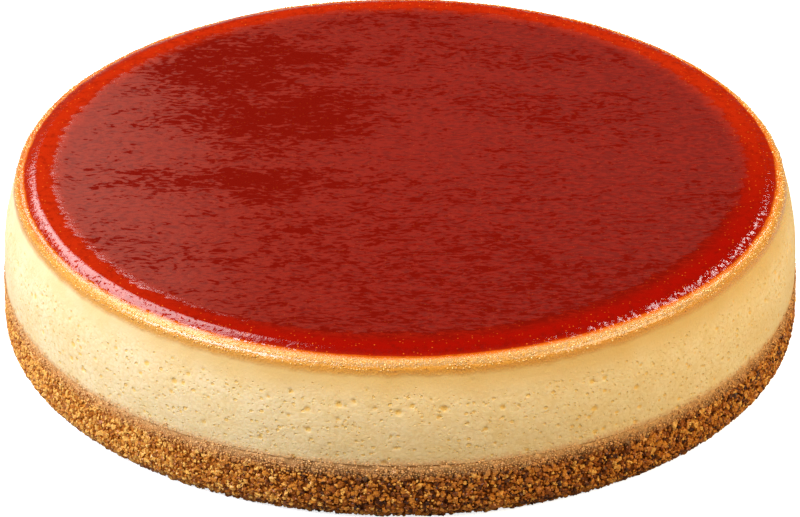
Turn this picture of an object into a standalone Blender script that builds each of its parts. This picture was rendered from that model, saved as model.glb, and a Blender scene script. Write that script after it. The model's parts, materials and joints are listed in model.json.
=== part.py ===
"""A whole round baked cheesecake: crumb base, pale cheese filling with a baked rim, and a red glaze on top.

Metres, +Z up. The origin is the middle of the flat underside, and the front is towards -Y.
"""

import math
import random

import bmesh
import bpy
from mathutils import Matrix, Vector, noise

# The size of the tin that the cake was baked in, and the height of each layer.
cake_width = 0.230
cake_height = 0.050
base_height = 0.018
glaze_thickness = 0.0016
layer_gap = 0.0003

# The crumb base: nearly straight sides, drawn in a little where they meet the plate.
base_radius = cake_width / 2
base_foot_radius = 0.974 * base_radius
base_foot_height = 0.003
base_segments = 300
base_rows = 10

# Its crumbs: round grains with cracks between them, in low clumps.
crumb_size = 0.0052
crumb_edge = 0.7
crumb_relief = 0.0011
clump_size = 0.016
clump_relief = 0.0010
crumbs_from = 0.9 * base_radius

# The filling: it shrank from the tin towards the top, and its shoulder is a soft quarter round.
filling_foot_radius = 0.992 * base_radius
filling_rim_radius = 0.964 * base_radius
shoulder_radius = 0.0024
shoulder_steps = 3
filling_segments = 160
wall_rows = 4
wall_bow = 0.0013
wall_sway_depth = 0.0004
wall_sway_length = 0.028
wall_sway_fade = 0.0075

# The holes that burst bubbles left in the filling's side.
pore_count = 80
pore_sides = 7
pore_rings = 4
pore_smallest = 0.0006
pore_largest = 0.0012
pore_proud = 0.25
pore_spacing = 0.0052
pore_clear_of_foot = 0.0030
pore_clear_of_shoulder = 0.0040
pore_low_bias = 1.25
pore_seed = 23

# The glaze: poured to the start of the shoulder, level in the middle and thinning to a soft edge.
glaze_edge_inset = 0.0001
glaze_slope_width = 0.0125
glaze_slope_power = 1.9
glaze_lip_height = 0.0004
glaze_lip_width = 0.0006
glaze_flat_rings = (0.2, 0.45, 0.72, 1.0)
glaze_slope_rings = (0.66, 0.36, 0.14)
glaze_segments = 128
glaze_ripple = 0.00022
glaze_ripple_length = 0.016

# Angles between faces above which an edge is shaded sharp.
crumb_sharp_angle = 40
filling_sharp_angle = 40
glaze_sharp_angle = 50
weld_distance = 0.00002

filling_floor = base_height + layer_gap
filling_top = cake_height - glaze_thickness
wall_top = filling_top - shoulder_radius
glaze_floor = filling_top + layer_gap
glaze_radius = filling_rim_radius - shoulder_radius - glaze_edge_inset


def clear_scene():
    for thing in list(bpy.data.objects):
        bpy.data.objects.remove(thing, do_unlink=True)


def make_material(name, colour, roughness):
    material = bpy.data.materials.new(name)
    material.use_nodes = True
    shader = material.node_tree.nodes["Principled BSDF"]
    shader.inputs["Base Color"].default_value = (*colour, 1.0)
    shader.inputs["Roughness"].default_value = roughness
    shader.inputs["Metallic"].default_value = 0.0
    return material


def turn(name, profile, segments, collection):
    """A closed solid of revolution, from (radius, height) points that start and end on the axis."""
    mesh = bpy.data.meshes.new(name + "_profile")
    points = [(radius, 0.0, height) for radius, height in profile]
    mesh.from_pydata(points, [(i, i + 1) for i in range(len(points) - 1)], [])
    source = bpy.data.objects.new(name, mesh)
    collection.objects.link(source)

    screw = source.modifiers.new("Turn", "SCREW")
    screw.axis = "Z"
    screw.steps = segments
    screw.render_steps = segments
    screw.use_merge_vertices = True
    screw.merge_threshold = weld_distance
    screw.use_normal_calculate = True

    graph = bpy.context.evaluated_depsgraph_get()
    turned = bpy.data.meshes.new_from_object(source.evaluated_get(graph))
    source.modifiers.clear()
    source.data = turned
    bpy.data.meshes.remove(mesh)

    solid = bmesh.new()
    solid.from_mesh(turned)
    bmesh.ops.remove_doubles(solid, verts=solid.verts, dist=weld_distance)
    bmesh.ops.recalc_face_normals(solid, faces=solid.faces)
    solid.to_mesh(turned)
    solid.free()
    turned.name = name
    return source


def smooth(obj, sharp_above):
    obj.data.shade_smooth()
    obj.data.set_sharp_from_angle(angle=math.radians(sharp_above))


def push_outwards(obj, amount, lowest_radius):
    """Moves each point beyond lowest_radius straight out from the axis by amount(point)."""
    for vertex in obj.data.vertices:
        flat = Vector((vertex.co.x, vertex.co.y, 0.0))
        if flat.length > lowest_radius:
            vertex.co += flat.normalized() * amount(vertex.co)


def crumb_bump(point):
    """Height of the crumbs at a point of the base's side: a grain is high, the crack between grains is low."""
    nearest, second = noise.voronoi(point / crumb_size)[0][:2]
    grain = min((second - nearest) / crumb_edge, 1.0)
    return crumb_relief * (grain - 1.0) + clump_relief * noise.noise(point / clump_size)


def make_crumb_base(collection):
    profile = [(0.0, base_height)]
    for row in range(base_rows):
        height = base_height * (1.0 - row / (base_rows - 1))
        tuck = max(0.0, 1.0 - height / base_foot_height) ** 2
        profile.append((base_radius - (base_radius - base_foot_radius) * tuck, height))
    profile.append((0.0, 0.0))
    base = turn("crumb_base", profile, base_segments, collection)
    push_outwards(base, crumb_bump, crumbs_from)
    smooth(base, crumb_sharp_angle)
    return base


def wall_radius(height):
    """Radius of the filling's side: it leans in and bows out a little between its foot and its shoulder."""
    share = (height - filling_floor) / (wall_top - filling_floor)
    lean = filling_foot_radius + (filling_rim_radius - filling_foot_radius) * share
    return lean + wall_bow * math.sin(math.pi * share)


def wall_sway(point):
    """The baked side is never quite round: it sways in and out over a few centimetres, less at its foot."""
    fade = min((point.z - filling_floor) / wall_sway_fade, 1.0)
    return wall_sway_depth * noise.noise(point / wall_sway_length) * fade


def make_filling(collection):
    profile = [(0.0, filling_top)]
    for step in range(shoulder_steps + 1):
        angle = math.pi / 2 * step / shoulder_steps
        profile.append((
            filling_rim_radius - shoulder_radius * (1.0 - math.sin(angle)),
            filling_top - shoulder_radius * (1.0 - math.cos(angle)),
        ))
    for row in range(1, wall_rows + 1):
        height = wall_top + (filling_floor - wall_top) * row / wall_rows
        profile.append((wall_radius(height), height))
    profile.append((0.0, filling_floor))
    filling = turn("cheese_filling", profile, filling_segments, collection)
    push_outwards(filling, wall_sway, filling_rim_radius - 0.5 * shoulder_radius)
    smooth(filling, filling_sharp_angle)
    return filling


def pore_places():
    """Where the holes lie on the side, as (place, radius): largest first, none touching, more low down."""
    draw = random.Random(pore_seed)
    lowest = filling_floor + pore_clear_of_foot
    highest = wall_top - pore_clear_of_shoulder
    places = []
    for number in range(pore_count):
        size = pore_largest + (pore_smallest - pore_largest) * number / (pore_count - 1)
        while True:
            angle = draw.uniform(0.0, 2.0 * math.pi)
            height = lowest + (highest - lowest) * draw.random() ** pore_low_bias
            radius = wall_radius(height)
            spot = Vector((radius * math.cos(angle), radius * math.sin(angle), height))
            if all((spot - other).length > pore_spacing for other, _ in places):
                places.append((spot, size))
                break
    return places


def make_pores(filling, cutters):
    """Cuts the holes as shallow bowls, with one cutter that holds a ball for each."""
    balls = bmesh.new()
    for spot, size in pore_places():
        outwards = Vector((spot.x, spot.y, 0.0)).normalized()
        facing = outwards.to_track_quat("Z", "Y").to_matrix().to_4x4()
        place = Matrix.Translation(spot + outwards * pore_proud * size) @ facing
        bmesh.ops.create_uvsphere(balls, u_segments=pore_sides, v_segments=pore_rings, radius=size, matrix=place)
    mesh = bpy.data.meshes.new("pore_cutter")
    balls.to_mesh(mesh)
    balls.free()
    cutter = bpy.data.objects.new("pore_cutter", mesh)
    cutter.hide_render = True
    cutter.display_type = "WIRE"
    cutters.objects.link(cutter)

    cut = filling.modifiers.new("Pores", "BOOLEAN")
    cut.operation = "DIFFERENCE"
    cut.solver = "EXACT"
    cut.object = cutter


def glaze_height(radius):
    """Upper surface of the glaze: level, then a long soft slope to the lip."""
    share = max(0.0, (radius - glaze_radius + glaze_slope_width) / glaze_slope_width)
    drop = cake_height - glaze_floor - glaze_lip_height
    return cake_height - drop * share ** glaze_slope_power


def glaze_wave(point):
    """Low ripples of the set glaze, which fade out down the slope."""
    flat = Vector((point.x, point.y, 0.0))
    fade = min(max((glaze_radius - flat.length) / glaze_slope_width, 0.0), 1.0)
    return -glaze_ripple * fade * (0.5 + 0.5 * noise.noise(flat / glaze_ripple_length))


def make_glaze(collection):
    rings = [share * (glaze_radius - glaze_slope_width) for share in glaze_flat_rings]
    rings += [glaze_radius - glaze_slope_width * share for share in glaze_slope_rings]
    profile = [(0.0, cake_height)]
    profile += [(radius, glaze_height(radius)) for radius in rings]
    profile.append((glaze_radius - glaze_lip_width / 2, glaze_floor + glaze_lip_height))
    profile.append((glaze_radius, glaze_floor))
    profile.append((0.0, glaze_floor))
    glaze = turn("glaze", profile, glaze_segments, collection)
    for vertex in glaze.data.vertices:
        if vertex.co.z > glaze_floor + glaze_lip_height / 2:
            vertex.co.z += glaze_wave(vertex.co)
    smooth(glaze, glaze_sharp_angle)
    return glaze


def main():
    clear_scene()
    cake = bpy.data.collections.new("cheesecake")
    cutters = bpy.data.collections.new("cutters")
    bpy.context.scene.collection.children.link(cake)
    bpy.context.scene.collection.children.link(cutters)

    centre = bpy.data.objects.new("cake_centre", None)
    cake.objects.link(centre)

    base = make_crumb_base(cake)
    base.data.materials.append(make_material("baked_crumb", (0.47, 0.19, 0.045), 0.80))
    filling = make_filling(cake)
    filling.data.materials.append(make_material("baked_cheese", (0.88, 0.72, 0.40), 0.55))
    make_pores(filling, cutters)
    glaze = make_glaze(cake)
    glaze.data.materials.append(make_material("red_glaze", (0.36, 0.012, 0.004), 0.12))
    for piece in (base, filling, glaze):
        piece.parent = centre


main()
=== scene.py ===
import json
import math

import bpy
import numpy as np
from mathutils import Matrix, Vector

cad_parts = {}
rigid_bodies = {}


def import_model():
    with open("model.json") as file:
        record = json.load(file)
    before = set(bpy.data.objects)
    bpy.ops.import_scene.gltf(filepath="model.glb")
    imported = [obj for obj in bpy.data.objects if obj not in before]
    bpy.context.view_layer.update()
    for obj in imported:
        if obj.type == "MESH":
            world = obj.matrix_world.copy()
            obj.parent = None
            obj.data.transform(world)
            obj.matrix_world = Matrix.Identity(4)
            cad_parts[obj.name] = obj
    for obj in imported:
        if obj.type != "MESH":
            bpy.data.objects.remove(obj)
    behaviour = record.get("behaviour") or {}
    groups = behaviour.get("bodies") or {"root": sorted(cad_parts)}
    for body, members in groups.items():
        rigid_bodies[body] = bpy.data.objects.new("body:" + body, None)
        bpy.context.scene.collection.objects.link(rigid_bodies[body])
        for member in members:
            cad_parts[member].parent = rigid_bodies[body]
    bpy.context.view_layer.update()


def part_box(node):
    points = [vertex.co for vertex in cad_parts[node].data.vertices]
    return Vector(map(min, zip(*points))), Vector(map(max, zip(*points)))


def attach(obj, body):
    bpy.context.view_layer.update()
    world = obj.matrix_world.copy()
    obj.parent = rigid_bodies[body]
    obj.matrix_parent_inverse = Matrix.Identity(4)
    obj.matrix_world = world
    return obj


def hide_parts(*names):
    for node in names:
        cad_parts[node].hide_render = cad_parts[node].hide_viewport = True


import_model()        # crumb_base, cheese_filling and glaze, all on the body "root"

mm = 0.001
baseLow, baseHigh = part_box("crumb_base")
cheeseLow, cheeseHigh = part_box("cheese_filling")
glazeLow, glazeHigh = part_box("glaze")

tinRadius = 115.0 * mm                        # half the 230 mm tin
crustTop = baseHigh.z
cheeseFoot, cheeseTop = cheeseLow.z, cheeseHigh.z
glazeTop = glazeHigh.z
glazeRadius = (glazeHigh.x - glazeLow.x) / 2


# Hand tools

def clearSelection():
    if bpy.context.object and bpy.context.object.mode != "OBJECT":
        bpy.ops.object.mode_set(mode="OBJECT")
    bpy.ops.object.select_all(action="DESELECT")


def take(name):                               # the primitive just added, with its place put in its mesh
    piece = bpy.context.object
    piece.name = piece.data.name = name
    bpy.ops.object.transform_apply(location=True, rotation=True, scale=True)
    return piece


def edit(mode="FACE"):
    bpy.ops.object.mode_set(mode="EDIT")
    bpy.ops.mesh.select_mode(type=mode)


def pickEdges(piece, wanted):                 # wanted(end, otherEnd) says which edges
    bpy.ops.object.mode_set(mode="OBJECT")
    mesh = piece.data
    for group in (mesh.vertices, mesh.edges, mesh.polygons):
        group.foreach_set("select", [False] * len(group))
    for edge in mesh.edges:
        a, b = (mesh.vertices[i].co for i in edge.vertices)
        edge.select = wanted(a, b)
    edit("EDGE")


def applyAll(piece):
    bpy.ops.object.mode_set(mode="OBJECT")
    bpy.context.view_layer.objects.active = piece
    for modifier in list(piece.modifiers):
        bpy.ops.object.modifier_apply(modifier=modifier.name)


def readPoints(piece):
    points = np.empty(len(piece.data.vertices) * 3, np.float32)
    piece.data.vertices.foreach_get("co", points)
    return points.reshape(-1, 3).astype(float)


def writePoints(piece, points):
    piece.data.vertices.foreach_set("co", points.astype(np.float32).ravel())
    piece.data.update()


def finishPiece(piece, material, node):
    piece.data.materials.clear()
    piece.data.materials.append(material)
    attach(piece, "root")
    if node:
        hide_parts(node)
    triangles = sum(len(face.vertices) - 2 for face in piece.data.polygons)
    print(piece.name, "ready,", triangles, "triangles")


# Node tools, for shaping modifiers and for materials alike

def plug(tree, sockets, values):
    for socket, value in zip(sockets, values):
        if isinstance(value, bpy.types.NodeSocket):
            tree.links.new(value, socket)
        elif value is not None:
            socket.default_value = value


def add(tree, kind, values=None, **settings):
    node = tree.nodes.new(kind)
    for key, value in settings.items():
        setattr(node, key, value)
    values = values or {}
    plug(tree, [node.inputs[key] for key in values], values.values())
    return node


def calc(tree, operation, *values):
    node = add(tree, "ShaderNodeMath", operation=operation)
    plug(tree, node.inputs, values)
    return node.outputs[0]


def times(tree, *values):
    result = values[0]
    for value in values[1:]:
        result = calc(tree, "MULTIPLY", result, value)
    return result


def total(tree, *values):
    result = values[0]
    for value in values[1:]:
        result = calc(tree, "ADD", result, value)
    return result


def shift(tree, operation, *values):          # vector sums
    node = add(tree, "ShaderNodeVectorMath", operation=operation)
    if operation == "SCALE":
        plug(tree, [node.inputs[0], node.inputs["Scale"]], values)
    else:
        plug(tree, node.inputs, values)
    return node.outputs["Value" if operation in ("LENGTH", "DOT_PRODUCT", "DISTANCE") else "Vector"]


def upwards(tree, height):
    return add(tree, "ShaderNodeCombineXYZ", {"Z": height}).outputs[0]


def ease(tree, value, low, high, toLow=0.0, toHigh=1.0, curve="SMOOTHSTEP"):
    values = {"Value": value, "From Min": low, "From Max": high, "To Min": toLow, "To Max": toHigh}
    return add(tree, "ShaderNodeMapRange", values, interpolation_type=curve).outputs["Result"]


def cloud(tree, point, size, detail=2.0, roughness=0.5):      # soft noise, 0 to 1
    values = {"Vector": point, "Scale": 1.0 / size, "Detail": detail, "Roughness": roughness}
    return add(tree, "ShaderNodeTexNoise", values).outputs[0]


def wave(tree, point, size, detail=2.0):                      # the same, -0.5 to 0.5
    return calc(tree, "SUBTRACT", cloud(tree, point, size, detail), 0.5)


def bend(tree, point, size, amount):                          # makes a pattern less regular
    push = add(tree, "ShaderNodeTexNoise", {"Vector": point, "Scale": 1.0 / size, "Detail": 1.0}).outputs[1]
    push = shift(tree, "SUBTRACT", push, (0.5, 0.5, 0.5))
    return shift(tree, "ADD", point, shift(tree, "SCALE", push, amount))


def cells(tree, point, size):                                 # grains or bubbles of about that size
    return add(tree, "ShaderNodeTexVoronoi", {"Vector": point, "Scale": 1.0 / size}).outputs


def blend(tree, share, first, second):
    node = add(tree, "ShaderNodeMix", data_type="RGBA")
    plug(tree, [node.inputs[0], node.inputs[6], node.inputs[7]], [share, first, second])
    return node.outputs[2]


def colour(red, green, blue):                 # as read off a screen, 0 to 255
    def linear(value):
        value /= 255.0
        return value / 12.92 if value <= 0.04045 else ((value + 0.055) / 1.055) ** 2.4
    return (linear(red), linear(green), linear(blue), 1.0)


# gives radius, height, the point slid out onto the tin, and which way is out
def roundPlace(tree, point):
    x, y, z = add(tree, "ShaderNodeSeparateXYZ", {"Vector": point}).outputs
    flat = add(tree, "ShaderNodeCombineXYZ", {"X": x, "Y": y}).outputs[0]
    radius = shift(tree, "LENGTH", flat)
    outwards = shift(tree, "NORMALIZE", flat)
    onTin = shift(tree, "ADD", shift(tree, "SCALE", outwards, tinRadius), upwards(tree, z))
    return radius, z, onTin, outwards


def startShaping(name):
    tree = bpy.data.node_groups.new(name, "GeometryNodeTree")
    tree.interface.new_socket("Geometry", in_out="INPUT", socket_type="NodeSocketGeometry")
    tree.interface.new_socket("Geometry", in_out="OUTPUT", socket_type="NodeSocketGeometry")
    start = tree.nodes.new("NodeGroupInput").outputs["Geometry"]
    end = tree.nodes.new("NodeGroupOutput").inputs["Geometry"]
    point = tree.nodes.new("GeometryNodeInputPosition").outputs[0]
    return tree, start, end, point


def moveBy(tree, shape, offset, end):         # the last step of each shaping
    moved = add(tree, "GeometryNodeSetPosition", {"Geometry": shape, "Offset": offset})
    tree.links.new(moved.outputs[0], end)


def shapeWith(piece, tree):
    piece.modifiers.new(tree.name, "NODES").node_group = tree
    applyAll(piece)


def startMaterial(name):
    material = bpy.data.materials.new(name)
    material.use_nodes = True
    tree = material.node_tree
    point = add(tree, "ShaderNodeTexCoord").outputs["Object"]
    return material, tree, tree.nodes["Principled BSDF"], point


def surfaceDetail(tree, *heights):            # one Bump node for all the heights together, in metres
    return add(tree, "ShaderNodeBump", {"Height": total(tree, *heights), "Distance": 1.0}).outputs[0]


# The cheese filling

cheese = {
    "footRadius": 0.992 * tinRadius,
    "rimRadius": 0.964 * tinRadius,
    "bow": 1.3 * mm,                          # how far the wall swells between foot and rim
    "shoulder": 2.4 * mm,
    "segments": 1400,
    "rows": 58,
    "sway": 1.0 * mm,
    "swayLength": 28 * mm,
    "lumps": 0.20 * mm,                       # soft unevenness of the side
    "lumpSize": 3.2 * mm,
    "blisterSize": 1.2 * mm,                  # on the baked shoulder
    "blisterDepth": 0.36 * mm,
    "skinSize": 0.7 * mm,
    "skinDepth": (0.10 * mm, 0.34 * mm),      # on the wall, and on the baked rim
    "spongeSize": 1.2 * mm,
    "spongeDepth": 0.03 * mm,
    "flatten": 1.25,                          # dents and holes are wider than high
    # bubbles that burst at the side: cell, smallest and largest hole radius, depth, strength of the painted
    # shade in the hole
    "bubbles": [
        (4.2 * mm, 0.45 * mm, 1.10 * mm, 0.32 * mm, 0.85),
        (2.4 * mm, 0.30 * mm, 0.74 * mm, 0.22 * mm, 0.75),
        (1.4 * mm, 0.18 * mm, 0.46 * mm, 0.13 * mm, 0.45),
    ],
    "smoothZone": (5.0 * mm, 11.0 * mm),      # below the rim the side is smooth, then it gets spongy
    "cream": colour(240, 217, 168),
    "creamDeep": colour(235, 206, 148),
    "holeShade": colour(238, 186, 84),
    # browned colour under the rim, also used as painted shade in the dents
    "baked": colour(214, 168, 88),
    "gold": colour(212, 144, 52),
    "pale": colour(170, 126, 70),             # flat top of the rim, at the front
    "amber": colour(192, 96, 16),
    "powder": colour(214, 162, 104),
}


def swayAt(tree, point, height):              # the baked side is never quite round
    fade = ease(tree, height, cheeseFoot, cheeseFoot + 7.5 * mm)
    return times(tree, wave(tree, point, cheese["swayLength"], 1.0), fade, cheese["sway"])


def spongeHeight(tree, onTin, height):        # height of the lumps, and how spongy it is there
    flat = shift(tree, "MULTIPLY", bend(tree, onTin, 2.5 * mm, 1.0 * mm), (1.0, 1.0, cheese["flatten"]))
    grid = add(tree, "ShaderNodeTexVoronoi", {
        "Vector": flat, "Scale": 1.0 / cheese["spongeSize"], "Smoothness": 0.35}, feature="SMOOTH_F1")
    sponge = ease(tree, grid.outputs["Distance"], 0.75, 0.15)
    smooth, spongy = cheese["smoothZone"]
    waver = times(tree, wave(tree, onTin, 16 * mm), 8 * mm)
    share = ease(tree, total(tree, height, waver), cheeseTop - smooth, cheeseTop - spongy, 0.15, 1.0)
    return sponge, share


def bubbleMasks(tree, onTin, share):          # 0 on the wall, 1 in a hole, for each size of bubble
    flat = shift(tree, "MULTIPLY", bend(tree, onTin, 1.0 * mm, 0.5 * mm), (1.0, 1.0, cheese["flatten"]))
    masks = []
    for size, smallest, largest, depth, shade in cheese["bubbles"]:
        grid = cells(tree, flat, size)
        luck = add(tree, "ShaderNodeSeparateXYZ", {"Vector": grid["Color"]}).outputs[0]
        luck = calc(tree, "POWER", luck, 1.5)
        radius = calc(tree, "MULTIPLY_ADD", luck, (largest - smallest) / size, smallest / size)
        nearness = calc(tree, "DIVIDE", grid["Distance"], times(tree, radius, share))
        masks.append((ease(tree, nearness, 1.15, 0.65), depth, shade))
    return masks


def shapeCheese():
    tree, start, end, point = startShaping("cheeseWall")
    radius, height, onTin, outwards = roundPlace(tree, point)
    wallTop = cheeseTop - cheese["shoulder"]
    along = ease(tree, height, cheeseFoot, wallTop, curve="LINEAR")
    lean = times(tree, along, cheese["rimRadius"] - cheese["footRadius"])
    bow = times(tree, calc(tree, "SINE", times(tree, along, math.pi)), cheese["bow"])
    lumps = times(tree, wave(tree, point, cheese["lumpSize"]), cheese["lumps"])
    share = spongeHeight(tree, onTin, height)[1]
    out = total(tree, lean, bow, swayAt(tree, point, height), lumps)
    mask, depth, shade = bubbleMasks(tree, onTin, share)[0]     # the smaller ones are left to the material
    out = calc(tree, "SUBTRACT", out, times(tree, mask, depth))
    offset = shift(tree, "SCALE", outwards, out)
    # the baked shoulder is blistered
    onShoulder = ease(tree, height, wallTop - 0.5 * mm, wallTop + 0.6 * mm)
    blisters = wave(tree, point, cheese["blisterSize"], 1.0)
    blisters = times(tree, blisters, onShoulder, cheese["blisterDepth"])
    normal = tree.nodes.new("GeometryNodeInputNormal").outputs[0]
    offset = shift(tree, "ADD", offset, shift(tree, "SCALE", normal, blisters))
    moveBy(tree, start, offset, end)
    return tree


def cheeseMaterial():
    material, tree, shader, point = startMaterial("bakedCheese")
    radius, height, onTin, outwards = roundPlace(tree, point)
    mottle = cloud(tree, point, 10 * mm, 3.0, 0.6)
    tint = blend(tree, ease(tree, mottle, 0.3, 0.75), cheese["cream"], cheese["creamDeep"])
    sponge, spongy = spongeHeight(tree, onTin, height)
    # painted shade: the dents between the lumps are tinted darker and more golden
    dentShade = times(tree, ease(tree, sponge, 0.5, 0.0), spongy)
    tint = blend(tree, times(tree, dentShade, 0.22), tint, cheese["baked"])
    masks = bubbleMasks(tree, onTin, spongy)
    # painted shade: each hole is tinted darker and golden inside
    for mask, depth, shade in masks:
        tint = blend(tree, times(tree, mask, shade), tint, cheese["holeShade"])
    # golden under the rim, paler on top of it and amber against the glaze, in bands that waver a little
    level = total(tree, height, times(tree, wave(tree, point, 14 * mm), 3.5 * mm))
    side = shift(tree, "DOT_PRODUCT", outwards, (0.6, -0.8, 0.0))
    warm = ease(tree, level, cheeseTop - 13 * mm, cheeseTop - 3.4 * mm, 0.22, 0.85)
    # the band is browning, but it is painted weaker at the left, where the light falls strongest, and
    # stronger at the front and right: partly painted shade
    warm = times(tree, warm, ease(tree, side, -0.3, 0.7, 0.2, 1.0))
    tint = blend(tree, warm, tint, cheese["baked"])
    level = total(tree, height, times(tree, wave(tree, point, 5 * mm), 1.3 * mm))
    gold = ease(tree, level, cheeseTop - 4.4 * mm, cheeseTop - 2.2 * mm)
    tint = blend(tree, gold, tint, cheese["gold"])
    front = shift(tree, "DOT_PRODUCT", outwards, (0.3, -0.95, 0.0))
    pale = ease(tree, level, cheeseTop - 1.4 * mm, cheeseTop - 0.6 * mm)
    pale = times(tree, pale, ease(tree, front, 0.5, 0.95, 0.2, 1.0))
    pale = times(tree, pale, ease(tree, cloud(tree, point, 0.9 * mm, 3.0, 0.7), 0.35, 0.6, 0.35, 1.0))
    tint = blend(tree, pale, tint, cheese["pale"])
    reach = total(tree, radius, times(tree, wave(tree, point, 3 * mm), 1.6 * mm))
    reach = total(tree, reach, glazePull(tree, outwards))
    reach = total(tree, reach, ease(tree, side, 0.2, -0.7, 0.0, -0.9 * mm))
    amber = ease(tree, reach, glazeRadius + 1.6 * mm, glazeRadius + 0.1 * mm)
    tint = blend(tree, times(tree, amber, gold), tint, cheese["amber"])
    # fine crumb powder clings to the foot
    dust = total(tree, height, times(tree, cloud(tree, point, 0.7 * mm, 3.0, 0.75), -6.0 * mm))
    dust = total(tree, dust, times(tree, wave(tree, point, 9 * mm), 1.6 * mm))
    dusty = ease(tree, dust, cheeseFoot - 0.7 * mm, cheeseFoot - 3.2 * mm, 0.0, 0.85)
    tint = blend(tree, dusty, tint, cheese["powder"])
    tree.links.new(tint, shader.inputs["Base Color"])
    tree.links.new(ease(tree, gold, 0.0, 1.0, 0.5, 0.24), shader.inputs["Roughness"])
    tree.links.new(times(tree, gold, 0.5), shader.inputs["Coat Weight"])
    shader.inputs["Specular IOR Level"].default_value = 0.35
    shader.inputs["Coat Roughness"].default_value = 0.10
    shader.inputs["Subsurface Weight"].default_value = 0.15
    shader.inputs["Subsurface Radius"].default_value = (1.0, 0.55, 0.25)
    shader.inputs["Subsurface Scale"].default_value = 1.5 * mm
    fine = cloud(tree, point, cheese["skinSize"], 2.0, 0.6)
    relief = times(tree, sponge, spongy, cheese["spongeDepth"])
    holes = [times(tree, mask, depth * -0.8) for mask, depth, shade in masks[1:]]
    skin = times(tree, fine, ease(tree, gold, 0.0, 1.0, *cheese["skinDepth"]))
    tree.links.new(surfaceDetail(tree, relief, skin, *holes), shader.inputs["Normal"])
    return material


def makeCheese():
    clearSelection()
    height = cheeseTop - cheeseFoot
    bpy.ops.mesh.primitive_cylinder_add(
        vertices=cheese["segments"], radius=cheese["footRadius"], depth=height,
        location=(0, 0, cheeseFoot + height / 2))
    body = take("cheeseBody")
    pickEdges(body, lambda a, b: min(a.z, b.z) > cheeseTop - 0.1 * mm)
    bpy.ops.mesh.bevel(offset=cheese["shoulder"], segments=7, profile=0.5, affect="EDGES")
    wallTop = cheeseTop - cheese["shoulder"]
    pickEdges(body, lambda a, b: abs(a.z - b.z) > wallTop - cheeseFoot - 0.1 * mm)
    bpy.ops.mesh.subdivide(number_cuts=cheese["rows"])
    shapeWith(body, shapeCheese())
    bpy.ops.object.shade_smooth_by_angle(angle=math.radians(80))
    finishPiece(body, cheeseMaterial(), "cheese_filling")


# The red glaze

glaze = {
    "firstCut": 9,                            # 10 x 16 rings in all, 0.68 mm apart
    "secondCut": 15,
    "slopeWidth": 13.0 * mm,
    "slopeDrop": 0.40 * mm,                   # the long soft slope
    "lipWidth": 5.5 * mm,
    "lipDrop": 1.15 * mm,                     # and the rounded lip at its end
    "frontPull": 1.6 * mm,                    # it ran less far at the front
    "creaseSize": 3.2 * mm,
    "creaseDepth": 0.05 * mm,
    "stretch": 0.42,                          # the skin wrinkled across the cake
    "swellSize": 9.0 * mm,
    "swellDepth": 0.06 * mm,
    "rippleSize": 1.3 * mm,
    "rippleDepth": 0.30 * mm,                 # as the light shades them
    "glossDepth": 0.055 * mm,                 # as the coat mirrors them
    "knobSize": 1.0 * mm,                     # its knobbly edge
    "knobDepth": 0.16 * mm,
    "knobGloss": 0.09 * mm,
    "speckSize": 1.0 * mm,
    "patchSize": 30 * mm,                     # where the ripples are deep
    "ragged": 0.9 * mm,                       # how unevenly it ran at the edge
    # patches without sheen in the satin skin, where the coat is thin and no paler colour is painted:
    # centre, half size and strength
    "sheenGaps": [
        ((-49 * mm, 62 * mm), (24 * mm, 19 * mm), 1.0),
        ((-38 * mm, 30 * mm), (28 * mm, 15 * mm), 0.95),
        ((-50 * mm, -8 * mm), (34 * mm, 9 * mm), 0.6),
    ],
    "deep": colour(94, 9, 3),                 # the glaze's deep red, left in the patches without sheen, and painted shade in the strokes
    "level": colour(118, 24, 10),             # the satin skin at the left, paler and pinker: painted reflection of the board's bright left end
    "middle": colour(114, 16, 5),             # the satin skin elsewhere, a little paler than deep: painted sheen
    "front": colour(124, 8, 2),               # the slope in front
    "sides": colour(148, 30, 5),              # and at the left and back
    "edge": colour(182, 84, 14),
    "speck": colour(222, 112, 30),
}


def glazePull(tree, outwards):                # how far short of its round the glaze stops
    front = shift(tree, "DOT_PRODUCT", outwards, (0.0, -1.0, 0.0))
    return ease(tree, front, 0.45, 0.95, 0.0, glaze["frontPull"])


def roundOff(piece):                          # hexagon rings become circles: each point keeps its direction
    points = readPoints(piece)
    flats = [(math.cos(math.radians(a)), math.sin(math.radians(a))) for a in (0, 60, 120)]
    widths = [abs(points[:, 0] * x + points[:, 1] * y) for x, y in flats]
    ring = np.max(widths, axis=0) / math.cos(math.pi / 6)
    far = np.maximum(np.hypot(points[:, 0], points[:, 1]), 1e-9)
    points[:, :2] *= (ring / far)[:, None]
    return points, ring


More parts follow.
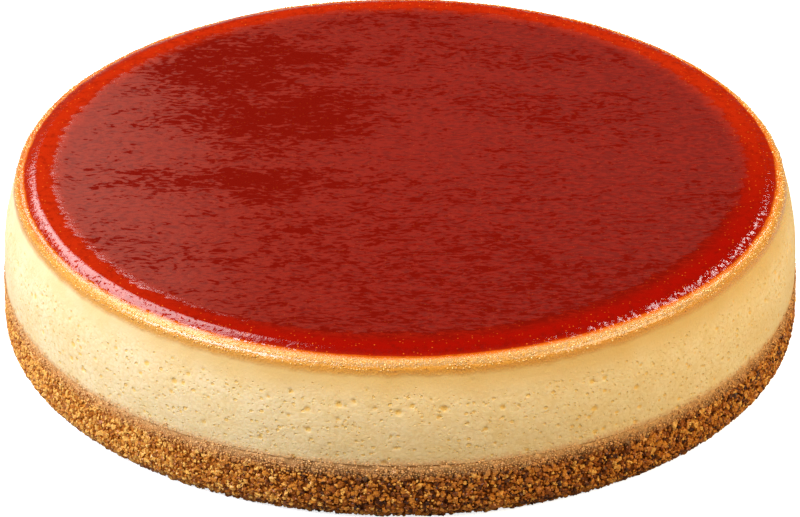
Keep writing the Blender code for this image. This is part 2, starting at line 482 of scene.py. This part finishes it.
def shapeGlaze():
    tree, start, end, point = startShaping("glazeRelief")
    radius, height, onTin, outwards = roundPlace(tree, point)
    drawn = shift(tree, "MULTIPLY", bend(tree, point, 17 * mm, 8 * mm), (glaze["stretch"], 1.0, 1.0))
    crease = calc(tree, "ABSOLUTE", wave(tree, drawn, glaze["creaseSize"], 1.5))
    x = add(tree, "ShaderNodeSeparateXYZ", {"Vector": point}).outputs[0]
    # shallower at the left, where the lamp for the lip would glint in the creases
    calm = ease(tree, x, -50 * mm, 10 * mm, 0.2, 1.0)
    crease = times(tree, ease(tree, crease, 0.0, 0.12), glaze["creaseDepth"], calm)
    swell = times(tree, wave(tree, drawn, glaze["swellSize"]), glaze["swellDepth"])
    fade = ease(tree, radius, glazeRadius - 16 * mm, glazeRadius - 5 * mm, 1.0, 0.1)
    top = ease(tree, height, cheeseTop, cheeseTop + 0.2 * mm)
    sunk = glaze["creaseDepth"] + glaze["swellDepth"] / 2       # no crest stands over the cake's height
    rise = times(tree, calc(tree, "SUBTRACT", total(tree, crease, swell), sunk), fade, top)
    rim = ease(tree, radius, glazeRadius - 7 * mm, glazeRadius)
    run = total(tree, wave(tree, point, 7 * mm), times(tree, wave(tree, point, 1.8 * mm), 0.6))
    run = calc(tree, "SUBTRACT", times(tree, run, glaze["ragged"]), glazePull(tree, outwards))
    offset = shift(tree, "ADD", upwards(tree, rise), shift(tree, "SCALE", outwards, times(tree, run, rim)))
    moveBy(tree, start, offset, end)
    return tree


def satinSheenMask(tree, point, x, y):             # 1 on the satin skin, which gets the coat and a paler painted sheen, 0 in the patches without it, with strokes between
    bent = bend(tree, point, 24 * mm, 16 * mm)
    sheenGap = 0.0
    for (middleX, middleY), (wide, deep), strength in glaze["sheenGaps"]:
        away = shift(tree, "SUBTRACT", bent, (middleX, middleY, 0.0))
        away = shift(tree, "LENGTH", shift(tree, "MULTIPLY", away, (1.0 / wide, 1.0 / deep, 0.0)))
        sheenGap = calc(tree, "MAXIMUM", sheenGap, ease(tree, away, 1.8, 0.4, 0.0, strength))
    patches = cloud(tree, shift(tree, "MULTIPLY", point, (0.5, 1.0, 1.0)), glaze["patchSize"], 2.0)
    patches = total(tree, patches, ease(tree, y, 70 * mm, -90 * mm, -0.08, 0.06))
    patches = total(tree, patches, ease(tree, x, -70 * mm, 0.0, -0.12, 0.02))
    rippled = ease(tree, patches, 0.34, 0.56)
    drawn = shift(tree, "MULTIPLY", bend(tree, point, 12 * mm, 5 * mm), (glaze["stretch"], 1.0, 1.0))
    # strokes that break up the coat and the painted sheen, leaving painted shade in them
    strokeShade = total(tree, wave(tree, drawn, 1.0 * mm, 3.0), times(tree, wave(tree, drawn, 3.0 * mm), 0.6))
    shares = [times(tree, sheenGap, -0.58), times(tree, rippled, -0.26), times(tree, strokeShade, 2.0)]
    satinSheen = total(tree, 0.80, *shares)
    return ease(tree, satinSheen, 0.30, 0.62), rippled, drawn


def glazeMaterial():
    material, tree, shader, point = startMaterial("redGlaze")
    radius, height, onTin, outwards = roundPlace(tree, point)
    x, y = add(tree, "ShaderNodeSeparateXYZ", {"Vector": point}).outputs[:2]
    satinSheen, rippled, drawn = satinSheenMask(tree, point, x, y)
    # painted reflection: where the coat mirrors the board, the base colour is also painted paler and
    # pinker, most at the left, where the board is brightest
    skin = blend(tree, ease(tree, x, 10 * mm, -85 * mm), glaze["middle"], glaze["level"])
    tint = blend(tree, satinSheen, glaze["deep"], skin)
    # painted shade: dark strokes where the sides of the ripples would be shaded, a little more on the right
    strokeShade = total(tree, cloud(tree, drawn, 0.9 * mm, 2.0), ease(tree, x, -10 * mm, 60 * mm, 0.0, 0.07))
    tint = blend(tree, ease(tree, strokeShade, 0.45, 0.68, 0.0, 0.9), tint, glaze["deep"])
    # thinner, so brighter, down the slope: orange at the left and back, deep red in front
    front = shift(tree, "DOT_PRODUCT", outwards, (0.45, -0.9, 0.0))
    slope = blend(tree, ease(tree, front, -0.1, 0.85), glaze["sides"], glaze["front"])
    reach = total(tree, radius, times(tree, wave(tree, point, 7 * mm), 3.0 * mm))
    tint = blend(tree, ease(tree, reach, glazeRadius - 13 * mm, glazeRadius - 6 * mm), tint, slope)
    mottle = cloud(tree, point, 2.2 * mm, 4.0, 0.65)
    tint = blend(tree, ease(tree, mottle, 0.45, 0.75, 0.0, 0.55), tint, glaze["deep"])
    thin = ease(tree, height, glazeTop - 0.7 * mm, glazeTop - 1.5 * mm, 0.0, 0.6)
    tint = blend(tree, thin, tint, glaze["sides"])
    edge = ease(tree, height, glazeTop - 1.25 * mm, glazeTop - 1.5 * mm)
    tint = blend(tree, edge, tint, glaze["edge"])
    grid = cells(tree, point, glaze["speckSize"])
    luck = add(tree, "ShaderNodeSeparateXYZ", {"Vector": grid["Color"]}).outputs[0]
    speck = times(tree, ease(tree, grid["Distance"], 0.28, 0.10), ease(tree, luck, 0.55, 1.0))
    speck = times(tree, speck, ease(tree, radius, glazeRadius - 14 * mm, glazeRadius - 4 * mm, 0.1, 0.6))
    tint = blend(tree, speck, tint, glaze["speck"])
    tree.links.new(tint, shader.inputs["Base Color"])
    roughness = ease(tree, cloud(tree, point, 6 * mm, 3.0), 0.3, 0.7, 0.08, 0.16)
    tree.links.new(roughness, shader.inputs["Roughness"])
    shader.inputs["Specular IOR Level"].default_value = 0.0      # the coat has all the gloss
    # a clear coat: all over the lip, broken on its right,
    # and on the satin skin inside, whose border is ragged
    frayed = total(tree, radius, times(tree, wave(tree, drawn, 2.2 * mm, 3.0), 7 * mm))
    frayed = total(tree, frayed, ease(tree, front, 0.3, 1.0, 0.0, 4.5 * mm))
    inner = ease(tree, frayed, glazeRadius - 9 * mm, glazeRadius - 8 * mm, 1.0, 0.0)
    broken = cloud(tree, point, 1.3 * mm, 3.0, 0.6)
    broken = total(tree, broken, ease(tree, x, -50 * mm, 30 * mm, 0.07, -0.05))
    lip = ease(tree, broken, 0.46, 0.51)
    onLip = ease(tree, height, glazeTop - 0.28 * mm, glazeTop - 0.45 * mm)
    coat = times(tree, inner, ease(tree, satinSheen, 0.0, 1.0, 0.04, 1.0))
    coat = total(tree, coat, times(tree, onLip, lip))
    tree.links.new(coat, shader.inputs["Coat Weight"])
    shader.inputs["Coat Roughness"].default_value = 0.03
    shader.inputs["Coat IOR"].default_value = 1.5
    # ripples of the set skin, and its knobbly edge
    strength = times(tree, inner, ease(tree, rippled, 0.0, 1.0, 0.4, 1.0))
    wrinkle = times(tree, cloud(tree, drawn, glaze["rippleSize"], 3.0, 0.6), strength)
    ripple = times(tree, wrinkle, glaze["rippleDepth"])
    outer = ease(tree, radius, glazeRadius - 13 * mm, glazeRadius - 6 * mm, 0.08, 1.0)
    knob = times(tree, cloud(tree, point, glaze["knobSize"], 3.0, 0.6), outer)
    knobs = times(tree, knob, glaze["knobDepth"])
    tree.links.new(surfaceDetail(tree, ripple, knobs), shader.inputs["Normal"])
    ripple = times(tree, wrinkle, ease(tree, x, -50 * mm, 20 * mm, 0.12, 1.0), glaze["glossDepth"])
    knobs = times(tree, knob, glaze["knobGloss"])
    tree.links.new(surfaceDetail(tree, ripple, knobs), shader.inputs["Coat Normal"])
    return material


def makeGlaze():
    clearSelection()
    bpy.ops.mesh.primitive_circle_add(
        vertices=6, radius=glazeRadius, fill_type="TRIFAN", location=(0, 0, glazeTop))
    skin = take("glazeSkin")
    edit()
    bpy.ops.mesh.select_all(action="SELECT")
    bpy.ops.mesh.subdivide(number_cuts=glaze["firstCut"])
    bpy.ops.mesh.subdivide(number_cuts=glaze["secondCut"])
    bpy.ops.object.mode_set(mode="OBJECT")
    points, ring = roundOff(skin)
    for width, drop in (("slopeWidth", "slopeDrop"), ("lipWidth", "lipDrop")):
        points[:, 2] -= glaze[drop] * np.clip((ring - glazeRadius) / glaze[width] + 1, 0, 1) ** 2
    writePoints(skin, points)
    edit("EDGE")
    bpy.ops.mesh.select_all(action="SELECT")
    bpy.ops.mesh.region_to_loop()
    edgeHeight = glazeTop - glaze["slopeDrop"] - glaze["lipDrop"]
    under = cheeseTop - 0.3 * mm              # tucked just into the cheese, so that no gap shows
    bpy.ops.mesh.extrude_region_move(TRANSFORM_OT_translate={"value": (0, 0, under - edgeHeight)})
    bpy.ops.mesh.edge_face_add()
    bpy.ops.mesh.select_all(action="SELECT")
    bpy.ops.mesh.normals_make_consistent(inside=False)
    shapeWith(skin, shapeGlaze())
    bpy.ops.object.shade_smooth_by_angle(angle=math.radians(60))
    finishPiece(skin, glazeMaterial(), "glaze")


# The crumb base

crust = {
    "inset": 0.9 * mm,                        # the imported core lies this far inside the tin
    "footTuck": 3.8 * mm,
    "footHeight": 6.0 * mm,
    "segments": 960,
    "rows": 24,
    "grainSize": 2.2 * mm,
    "grainDepth": 1.1 * mm,                   # of the cracks between the grains
    "pitDepth": 0.45 * mm,                    # in the pressed underside
    "topRagged": 2.0 * mm,                    # the crust climbs unevenly up the cheese
    "climb": 0.1,                             # more up than down, as a share of that
    "pressedFrom": 0.7 * mm,                  # crumbs nearer to the tin than this are pressed back
    "pressed": 0.4,                           # by this share
    "powderFrom": 13.0 * mm,                  # from here up the crumbs are fine and dull
    "powderTo": 18.5 * mm,
    # darkest tone: the darkest loose crumbs, and painted shade in the core between them
    "crack": colour(58, 22, 4),
    "brown": colour(158, 82, 20),
    "gold": colour(200, 122, 36),
    "pale": colour(236, 174, 80),
    "dull": colour(232, 182, 118),
}


def wallOfTin(tree, height):                  # radius of the tin's side, drawn in at the foot
    low = ease(tree, height, 0.0, crust["footHeight"], 1.0, 0.0, "LINEAR")
    return calc(tree, "SUBTRACT", tinRadius, times(tree, calc(tree, "POWER", low, 2.0), crust["footTuck"]))


def shapeCore():
    tree, start, end, point = startShaping("packedCrumbs")
    radius, height, onTin, outwards = roundPlace(tree, point)
    onWall = ease(tree, radius, tinRadius - 6 * mm, tinRadius - 3 * mm)
    grain = cells(tree, point, crust["grainSize"])["Distance"]
    fine = times(tree, cloud(tree, point, 1.2 * mm), 0.5 * mm)
    out = total(tree, times(tree, grain, -crust["grainDepth"]), fine)
    tuck = calc(tree, "SUBTRACT", wallOfTin(tree, height), tinRadius)
    out = times(tree, total(tree, out, tuck), onWall)
    offset = shift(tree, "SCALE", outwards, out)
    # its top edge climbs here and there, and the pressed underside is pitted between its grains
    edge = times(tree, ease(tree, height, crustTop - 1.5 * mm, crustTop), onWall)
    climb = calc(tree, "ADD", wave(tree, point, 5 * mm, 3.0), crust["climb"])
    climb = times(tree, climb, edge, crust["topRagged"])
    pits = times(tree, grain, ease(tree, height, 0.3 * mm, 0.1 * mm), crust["pitDepth"])
    offset = shift(tree, "ADD", offset, upwards(tree, total(tree, climb, pits)))
    moveBy(tree, start, offset, end)
    return tree


def makeBakedTint():                          # a crumb's colour, from its tone and height, with painted light on the left and painted shade in the dark core
    tree = bpy.data.node_groups.new("bakedTint", "ShaderNodeTree")
    tree.interface.new_socket("Tone", in_out="INPUT", socket_type="NodeSocketFloat")
    tree.interface.new_socket("Point", in_out="INPUT", socket_type="NodeSocketVector")
    tree.interface.new_socket("Tint", in_out="OUTPUT", socket_type="NodeSocketColor")
    tree.interface.new_socket("Grain", in_out="OUTPUT", socket_type="NodeSocketFloat")
    given = tree.nodes.new("NodeGroupInput").outputs
    made = tree.nodes.new("NodeGroupOutput").inputs
    tone, point = given["Tone"], given["Point"]
    radius, height, onTin, outwards = roundPlace(tree, point)
    tone = total(tree, tone, times(tree, wave(tree, point, 0.9 * mm), 0.5))
    # the left side is painted paler than the front, as the light falls strongest there: painted light
    left = shift(tree, "DOT_PRODUCT", outwards, (-0.9, -0.4, 0.0))
    tone = total(tree, tone, ease(tree, left, 0.5, 1.0, 0.0, 0.35))
    tint = blend(tree, ease(tree, tone, 0.0, 0.35), crust["crack"], crust["brown"])
    tint = blend(tree, ease(tree, tone, 0.25, 0.7), tint, crust["gold"])
    tint = blend(tree, ease(tree, tone, 0.75, 1.05), tint, crust["pale"])
    level = total(tree, height, times(tree, wave(tree, point, 7 * mm, 3.0), 3.0 * mm))
    dull = ease(tree, level, crust["powderFrom"], crust["powderTo"], 0.0, 0.8)
    tree.links.new(blend(tree, dull, tint, crust["dull"]), made["Tint"])
    tree.links.new(cloud(tree, point, 0.45 * mm, 3.0, 0.6), made["Grain"])


def crumbMaterial(name, loose):
    material, tree, shader, point = startMaterial(name)
    if loose:
        tone = add(tree, "ShaderNodeAttribute", attribute_name="tone").outputs["Fac"]
    else:
        # painted shade: the packed core, seen only in the gaps between the loose crumbs, is kept dark
        tone = times(tree, cells(tree, point, 1.5 * mm)["Distance"], 0.35)
    tinted = add(tree, "ShaderNodeGroup", node_tree=bpy.data.node_groups["bakedTint"])
    plug(tree, [tinted.inputs["Tone"], tinted.inputs["Point"]], [tone, point])
    tree.links.new(tinted.outputs["Tint"], shader.inputs["Base Color"])
    shader.inputs["Roughness"].default_value = 0.32 if loose else 0.7
    shader.inputs["Specular IOR Level"].default_value = 0.25 if loose else 0.1
    detail = surfaceDetail(tree, times(tree, tinted.outputs["Grain"], 0.10 * mm))
    tree.links.new(detail, shader.inputs["Normal"])
    return material


def makeCore():
    clearSelection()
    bpy.ops.mesh.primitive_cylinder_add(
        vertices=crust["segments"], radius=tinRadius - crust["inset"], depth=crustTop,
        location=(0, 0, crustTop / 2))
    core = take("crumbCore")
    pickEdges(core, lambda a, b: abs(a.z - b.z) > crustTop / 2)
    bpy.ops.mesh.subdivide(number_cuts=crust["rows"])
    shapeWith(core, shapeCore())
    bpy.ops.object.shade_smooth_by_angle(angle=math.radians(80))
    finishPiece(core, crumbMaterial("shadedPackedCrumb", False), "crumb_base")


# The crumbs in its side, largest first. "inside" is how far inside the tin they sit.
crumbKinds = {
    "coarseCrumbs": {
        "apart": 1.9 * mm, "size": (1.4 * mm, 2.6 * mm), "band": (0.9 * mm, 15.4 * mm),
        "inside": 1.5 * mm, "cut": True, "seed": 3},
    "mediumCrumbs": {
        "apart": 1.25 * mm, "size": (0.9 * mm, 1.7 * mm), "band": (0.5 * mm, 16.8 * mm),
        "inside": 1.1 * mm, "cut": True, "seed": 5},
    "fineCrumbs": {
        "apart": 0.86 * mm, "size": (0.5 * mm, 1.1 * mm), "band": (0.4 * mm, 18.2 * mm),
        "inside": 0.8 * mm, "cut": False, "seed": 8},
    "crumbPowder": {
        "apart": 0.54 * mm, "size": (0.3 * mm, 0.62 * mm), "band": (14.8 * mm, 20.3 * mm),
        "inside": 0.45 * mm, "cut": False, "seed": 13},
}


crumbShapes = 4                               # different crumbs of each kind


def shelfFor(name):                           # a collection for shapes that are copied and then thrown away
    shelf = bpy.data.collections.new(name)
    bpy.context.scene.collection.children.link(shelf)
    return shelf


def putOn(shelf, shape):
    for home in list(shape.users_collection):
        home.objects.unlink(shape)
    shelf.objects.link(shape)


def clearShelf(shelf):
    for shape in list(shelf.objects):
        bpy.data.objects.remove(shape)
    bpy.data.collections.remove(shelf)


def makeCrumbShapes(kind, facts):             # modelled round the origin
    shelf = shelfFor(kind + "Shapes")
    for number in range(crumbShapes):
        clearSelection()
        if facts["cut"]:
            bpy.ops.mesh.primitive_cube_add(size=0.8)
        else:
            bpy.ops.mesh.primitive_ico_sphere_add(subdivisions=1, radius=0.5)
        shape = take(f"{kind}{number}")
        edit("VERT")
        bpy.ops.mesh.select_all(action="SELECT")
        if facts["cut"]:
            bpy.ops.mesh.subdivide(number_cuts=1)
            bpy.ops.transform.tosphere(value=0.35)
        bpy.ops.transform.vertex_random(offset=0.15, uniform=1.0, seed=facts["seed"] + number)
        bpy.ops.object.mode_set(mode="OBJECT")
        putOn(shelf, shape)
    return shelf


def randomBetween(tree, low, high, kind="FLOAT_VECTOR", seed=0):
    first, out = {"FLOAT_VECTOR": (0, 0), "FLOAT": (2, 1), "INT": (4, 2)}[kind]
    node = add(tree, "FunctionNodeRandomValue", {"Seed": seed}, data_type=kind)
    plug(tree, node.inputs[first:first + 2], [low, high])
    return node.outputs[out]


# copies all over a surface, each with its own tone
def scatter(tree, surface, density, apart, size, shelf, seed, shapes=crumbShapes):
    spread = add(tree, "GeometryNodeDistributePointsOnFaces", {
        "Mesh": surface, "Distance Min": apart, "Density Max": 1.6 / apart ** 2,
        "Density Factor": density, "Seed": seed}, distribute_method="POISSON")
    models = add(tree, "GeometryNodeCollectionInfo", {"Separate Children": True, "Reset Children": True})
    models.inputs["Collection"].default_value = shelf
    smallest, largest = size
    placed = add(tree, "GeometryNodeInstanceOnPoints", {
        "Points": spread.outputs["Points"], "Instance": models.outputs[0], "Pick Instance": True,
        "Instance Index": randomBetween(tree, 0, shapes - 1, "INT", seed),
        "Rotation": randomBetween(tree, (0, 0, 0), (6.28, 6.28, 6.28), seed=seed),
        "Scale": randomBetween(tree, (smallest,) * 3, (largest,) * 3, seed=seed + 1)})
    stored = add(tree, "GeometryNodeStoreNamedAttribute", {
        "Geometry": placed.outputs[0], "Name": "tone"}, data_type="FLOAT", domain="INSTANCE")
    tree.links.new(randomBetween(tree, 0.0, 1.0, "FLOAT", seed + 2), stored.inputs["Value"])
    return add(tree, "GeometryNodeRealizeInstances", {"Geometry": stored.outputs[0]}).outputs[0]


def scatterCrumbs(kind, facts, shelf):
    tree, start, end, point = startShaping(kind)
    radius, height, onTin, outwards = roundPlace(tree, point)
    top = facts["band"][1]
    # fewer towards the top, with a ragged upper edge
    ragged = total(tree, height, times(tree, wave(tree, point, 6 * mm, 3.0), 3.5 * mm))
    density = ease(tree, ragged, top - 3.5 * mm, top, 1.0, 0.0)
    real = scatter(tree, start, density, facts["apart"], facts["size"], shelf, facts["seed"])
    # the tin pressed them flat on the outside, and the tray underneath
    wall = calc(tree, "SUBTRACT", wallOfTin(tree, height), crust["pressedFrom"])
    proud = calc(tree, "MAXIMUM", calc(tree, "SUBTRACT", radius, wall), 0.0)
    pressed = shift(tree, "SCALE", outwards, times(tree, proud, -crust["pressed"]))
    sunk = calc(tree, "MAXIMUM", calc(tree, "SUBTRACT", 0.0, height), 0.0)
    pressed = shift(tree, "ADD", pressed, upwards(tree, sunk))
    moveBy(tree, real, pressed, end)
    return tree


def makeCrumbs(kind, facts, material):
    shelf = makeCrumbShapes(kind, facts)
    clearSelection()
    low, high = facts["band"]
    bpy.ops.mesh.primitive_cylinder_add(
        vertices=180, radius=tinRadius - facts["inside"], depth=high - low,
        end_fill_type="NOTHING", location=(0, 0, (low + high) / 2))
    crumbs = take(kind)
    edit()
    bpy.ops.mesh.select_all(action="SELECT")
    bpy.ops.mesh.subdivide(number_cuts=4)
    bpy.ops.object.mode_set(mode="OBJECT")
    points = readPoints(crumbs)               # follows the tucked foot
    tuck = crust["footTuck"] * np.clip(1 - points[:, 2] / crust["footHeight"], 0, 1) ** 2
    points[:, :2] *= (1 - tuck / tinRadius)[:, None]
    writePoints(crumbs, points)
    shapeWith(crumbs, scatterCrumbs(kind, facts, shelf))
    clearShelf(shelf)
    finishPiece(crumbs, material, None)


# Beads of fat that baked out along the rim

beads = {
    "apart": 0.70 * mm,
    "size": (0.35 * mm, 0.80 * mm),
    "sunk": 0.02 * mm,
    "seed": 21,
    "tint": colour(242, 200, 124),
}


def beadMaterial():
    material, tree, shader, point = startMaterial("bakedFat")
    tone = add(tree, "ShaderNodeAttribute", attribute_name="tone").outputs["Fac"]
    tint = blend(tree, ease(tree, tone, 0.1, 0.7), cheese["gold"], beads["tint"])
    tint = blend(tree, ease(tree, cloud(tree, point, 2 * mm), 0.45, 0.7, 0.0, 0.4), tint, cheese["amber"])
    tree.links.new(tint, shader.inputs["Base Color"])
    tree.links.new(ease(tree, tone, 0.0, 1.0, 0.06, 0.2), shader.inputs["Roughness"])
    return material


def makeBeads():
    clearSelection()
    shelf = shelfFor("beadShapes")
    bpy.ops.mesh.primitive_ico_sphere_add(subdivisions=1, radius=0.5)
    drop = take("bead")
    edit("VERT")
    bpy.ops.mesh.select_all(action="SELECT")
    bpy.ops.transform.resize(value=(1.1, 0.95, 0.8))
    bpy.ops.transform.vertex_random(offset=0.06, uniform=1.0, seed=beads["seed"])
    bpy.ops.object.mode_set(mode="OBJECT")
    bpy.ops.object.shade_smooth()
    putOn(shelf, drop)
    clearSelection()
    upper = (glazeRadius + 0.1 * mm, cheeseTop - 0.25 * mm)
    lower = (cheese["rimRadius"] - 0.2 * mm, cheeseTop - 1.9 * mm)
    bpy.ops.mesh.primitive_cone_add(
        vertices=180, radius1=lower[0], radius2=upper[0], depth=upper[1] - lower[1],
        end_fill_type="NOTHING", location=(0, 0, (upper[1] + lower[1]) / 2))
    band = take("fatBeads")
    edit()
    bpy.ops.mesh.select_all(action="SELECT")
    bpy.ops.mesh.subdivide(number_cuts=4)
    bpy.ops.object.mode_set(mode="OBJECT")
    points = readPoints(band)                 # rounded like the shoulder, a little below its surface
    middle, wallTop = cheese["rimRadius"] - cheese["shoulder"], cheeseTop - cheese["shoulder"]
    far = np.hypot(points[:, 0], points[:, 1])
    out, up = far - middle, points[:, 2] - wallTop
    grow = (cheese["shoulder"] - beads["sunk"]) / np.hypot(out, up)
    points[:, :2] *= ((middle + out * grow) / far)[:, None]
    points[:, 2] = wallTop + up * grow
    writePoints(band, points)
    tree, start, end, point = startShaping("fatBeads")
    radius, height, onTin, outwards = roundPlace(tree, point)
    density = ease(tree, cloud(tree, point, 5 * mm, 2.0), 0.35, 0.6, 0.2, 1.0)
    real = scatter(tree, start, density, beads["apart"], beads["size"], shelf, beads["seed"], 1)
    offset = shift(tree, "SCALE", outwards, swayAt(tree, point, height))
    moveBy(tree, real, offset, end)
    shapeWith(band, tree)
    clearShelf(shelf)
    finishPiece(band, beadMaterial(), None)


# Floor, light and camera

view = {
    "elevation": 29.2,
    "distance": 2.09,
    "aim": (0.0, 0.0, 0.020),
    "lens": 325.0,
    "sensor": 36.0,
}

# place, roll, width and height, brightness and colour
lamps = {
    "keyBox": ((-1.20, -0.42, 1.44), 0, (1.1, 1.1), 15.5, (0.93, 1.0, 1.18)),
    "fillBox": ((1.40, -0.55, 1.30), 0, (1.2, 1.2), 8.8, (1.0, 0.86, 0.60)),
    "lipBox": ((-0.42, 0.70, 0.92), -40, (0.45, 0.94), 7.0, (1.0, 0.93, 0.93)),
    "glintBox": ((0.53, 0.57, 0.93), 38, (0.07, 0.98), 16.0, (1.0, 0.97, 0.94)),
}

lampAim = Vector((0, 0, 0.03))                # in the middle of the cake

ground = {
    "seen": (0.86, 0.86, 0.86, 1.0),
    "bounce": (0.28, 0.26, 0.22, 1.0),        # it throws less light back up
    "glow": 0.8,                              # so that only a faint shadow shows
}

board = {                                     # stands behind the cake, and the level glaze mirrors it
    "distance": 1.0,
    "width": (-0.215, 0.26),
    "height": (0.42, 0.685),
    "bright": (-0.17, -0.05),                 # brighter on its left, from and to
    "glow": (0.95, 0.22),
    "tint": (1.0, 0.70, 0.57, 1.0),
}


def makeBoard():
    clearSelection()
    left, right = board["width"]
    low, high = board["height"]
    middle = ((left + right) / 2, board["distance"], (low + high) / 2)
    bpy.ops.mesh.primitive_plane_add(size=1, location=middle, rotation=(math.pi / 2, 0, 0))
    bpy.context.object.scale = (right - left, high - low, 1)
    sheet = take("paleBoard")
    material, tree, shader, point = startMaterial("paleBoard")
    waved = bend(tree, point, 40 * mm, 18 * mm)
    x = add(tree, "ShaderNodeSeparateXYZ", {"Vector": waved}).outputs[0]
    glow = ease(tree, x, *board["bright"], *board["glow"])
    glow = times(tree, glow, ease(tree, x, 0.55 * right, 0.95 * right, 1.0, 0.0))
    shader.inputs["Base Color"].default_value = (0.0, 0.0, 0.0, 1.0)
    shader.inputs["Specular IOR Level"].default_value = 0.0
    shader.inputs["Emission Color"].default_value = board["tint"]
    tree.links.new(glow, shader.inputs["Emission Strength"])
    sheet.data.materials.append(material)
    sheet.visible_camera = False
    sheet.visible_diffuse = False
    sheet.visible_shadow = False


def makeStudio():
    clearSelection()
    bpy.ops.mesh.primitive_plane_add(size=16, location=(0, 0, 0))
    floor = take("floor")
    material, tree, shader, point = startMaterial("paleFloor")
    seen = add(tree, "ShaderNodeLightPath").outputs["Is Camera Ray"]
    tint = blend(tree, seen, ground["bounce"], ground["seen"])
    tree.links.new(tint, shader.inputs["Base Color"])
    shader.inputs["Emission Color"].default_value = (1.0, 1.0, 1.0, 1.0)
    tree.links.new(times(tree, seen, ground["glow"]), shader.inputs["Emission Strength"])
    shader.inputs["Roughness"].default_value = 0.6
    floor.data.materials.append(material)
    makeBoard()
    for name, (place, roll, size, glow, tint) in lamps.items():
        bpy.ops.object.light_add(type="AREA", location=place)
        light = bpy.context.object
        light.name = name
        light.data.shape = "RECTANGLE"
        light.data.size, light.data.size_y = size
        light.data.energy = glow * math.pi * size[0] * size[1]
        light.data.color = tint
        light.visible_camera = False
        light.rotation_euler = (lampAim - Vector(place)).to_track_quat("-Z", "Y").to_euler()
        light.rotation_euler.rotate_axis("Z", math.radians(roll))
    world = bpy.data.worlds.new("studio")
    world.use_nodes = True
    background = world.node_tree.nodes["Background"]
    background.inputs["Color"].default_value = (1.0, 1.0, 1.0, 1.0)
    seen = add(world.node_tree, "ShaderNodeLightPath").outputs["Is Camera Ray"]
    strength = ease(world.node_tree, seen, 0.0, 1.0, 0.05, 1.0)
    world.node_tree.links.new(strength, background.inputs["Strength"])
    bpy.context.scene.world = world
    print("studio ready")


def makeCamera():
    up = math.radians(view["elevation"])
    x, y, z = view["aim"]
    far = view["distance"]
    place = (x, y - far * math.cos(up), z + far * math.sin(up))
    bpy.ops.object.camera_add(location=place, rotation=(math.pi / 2 - up, 0, 0))
    camera = bpy.context.object
    camera.name = "photoCamera"
    camera.data.lens = view["lens"]
    camera.data.sensor_width = view["sensor"]
    camera.data.clip_start = 0.05
    bpy.context.scene.camera = camera
    print("camera ready")


makeCheese()
makeGlaze()
makeBakedTint()
makeCore()
looseCrumb = crumbMaterial("looseCrumb", True)
for kind, facts in crumbKinds.items():
    makeCrumbs(kind, facts, looseCrumb)
makeBeads()
makeStudio()
makeCamera()
bpy.context.scene.view_settings.view_transform = "Standard"
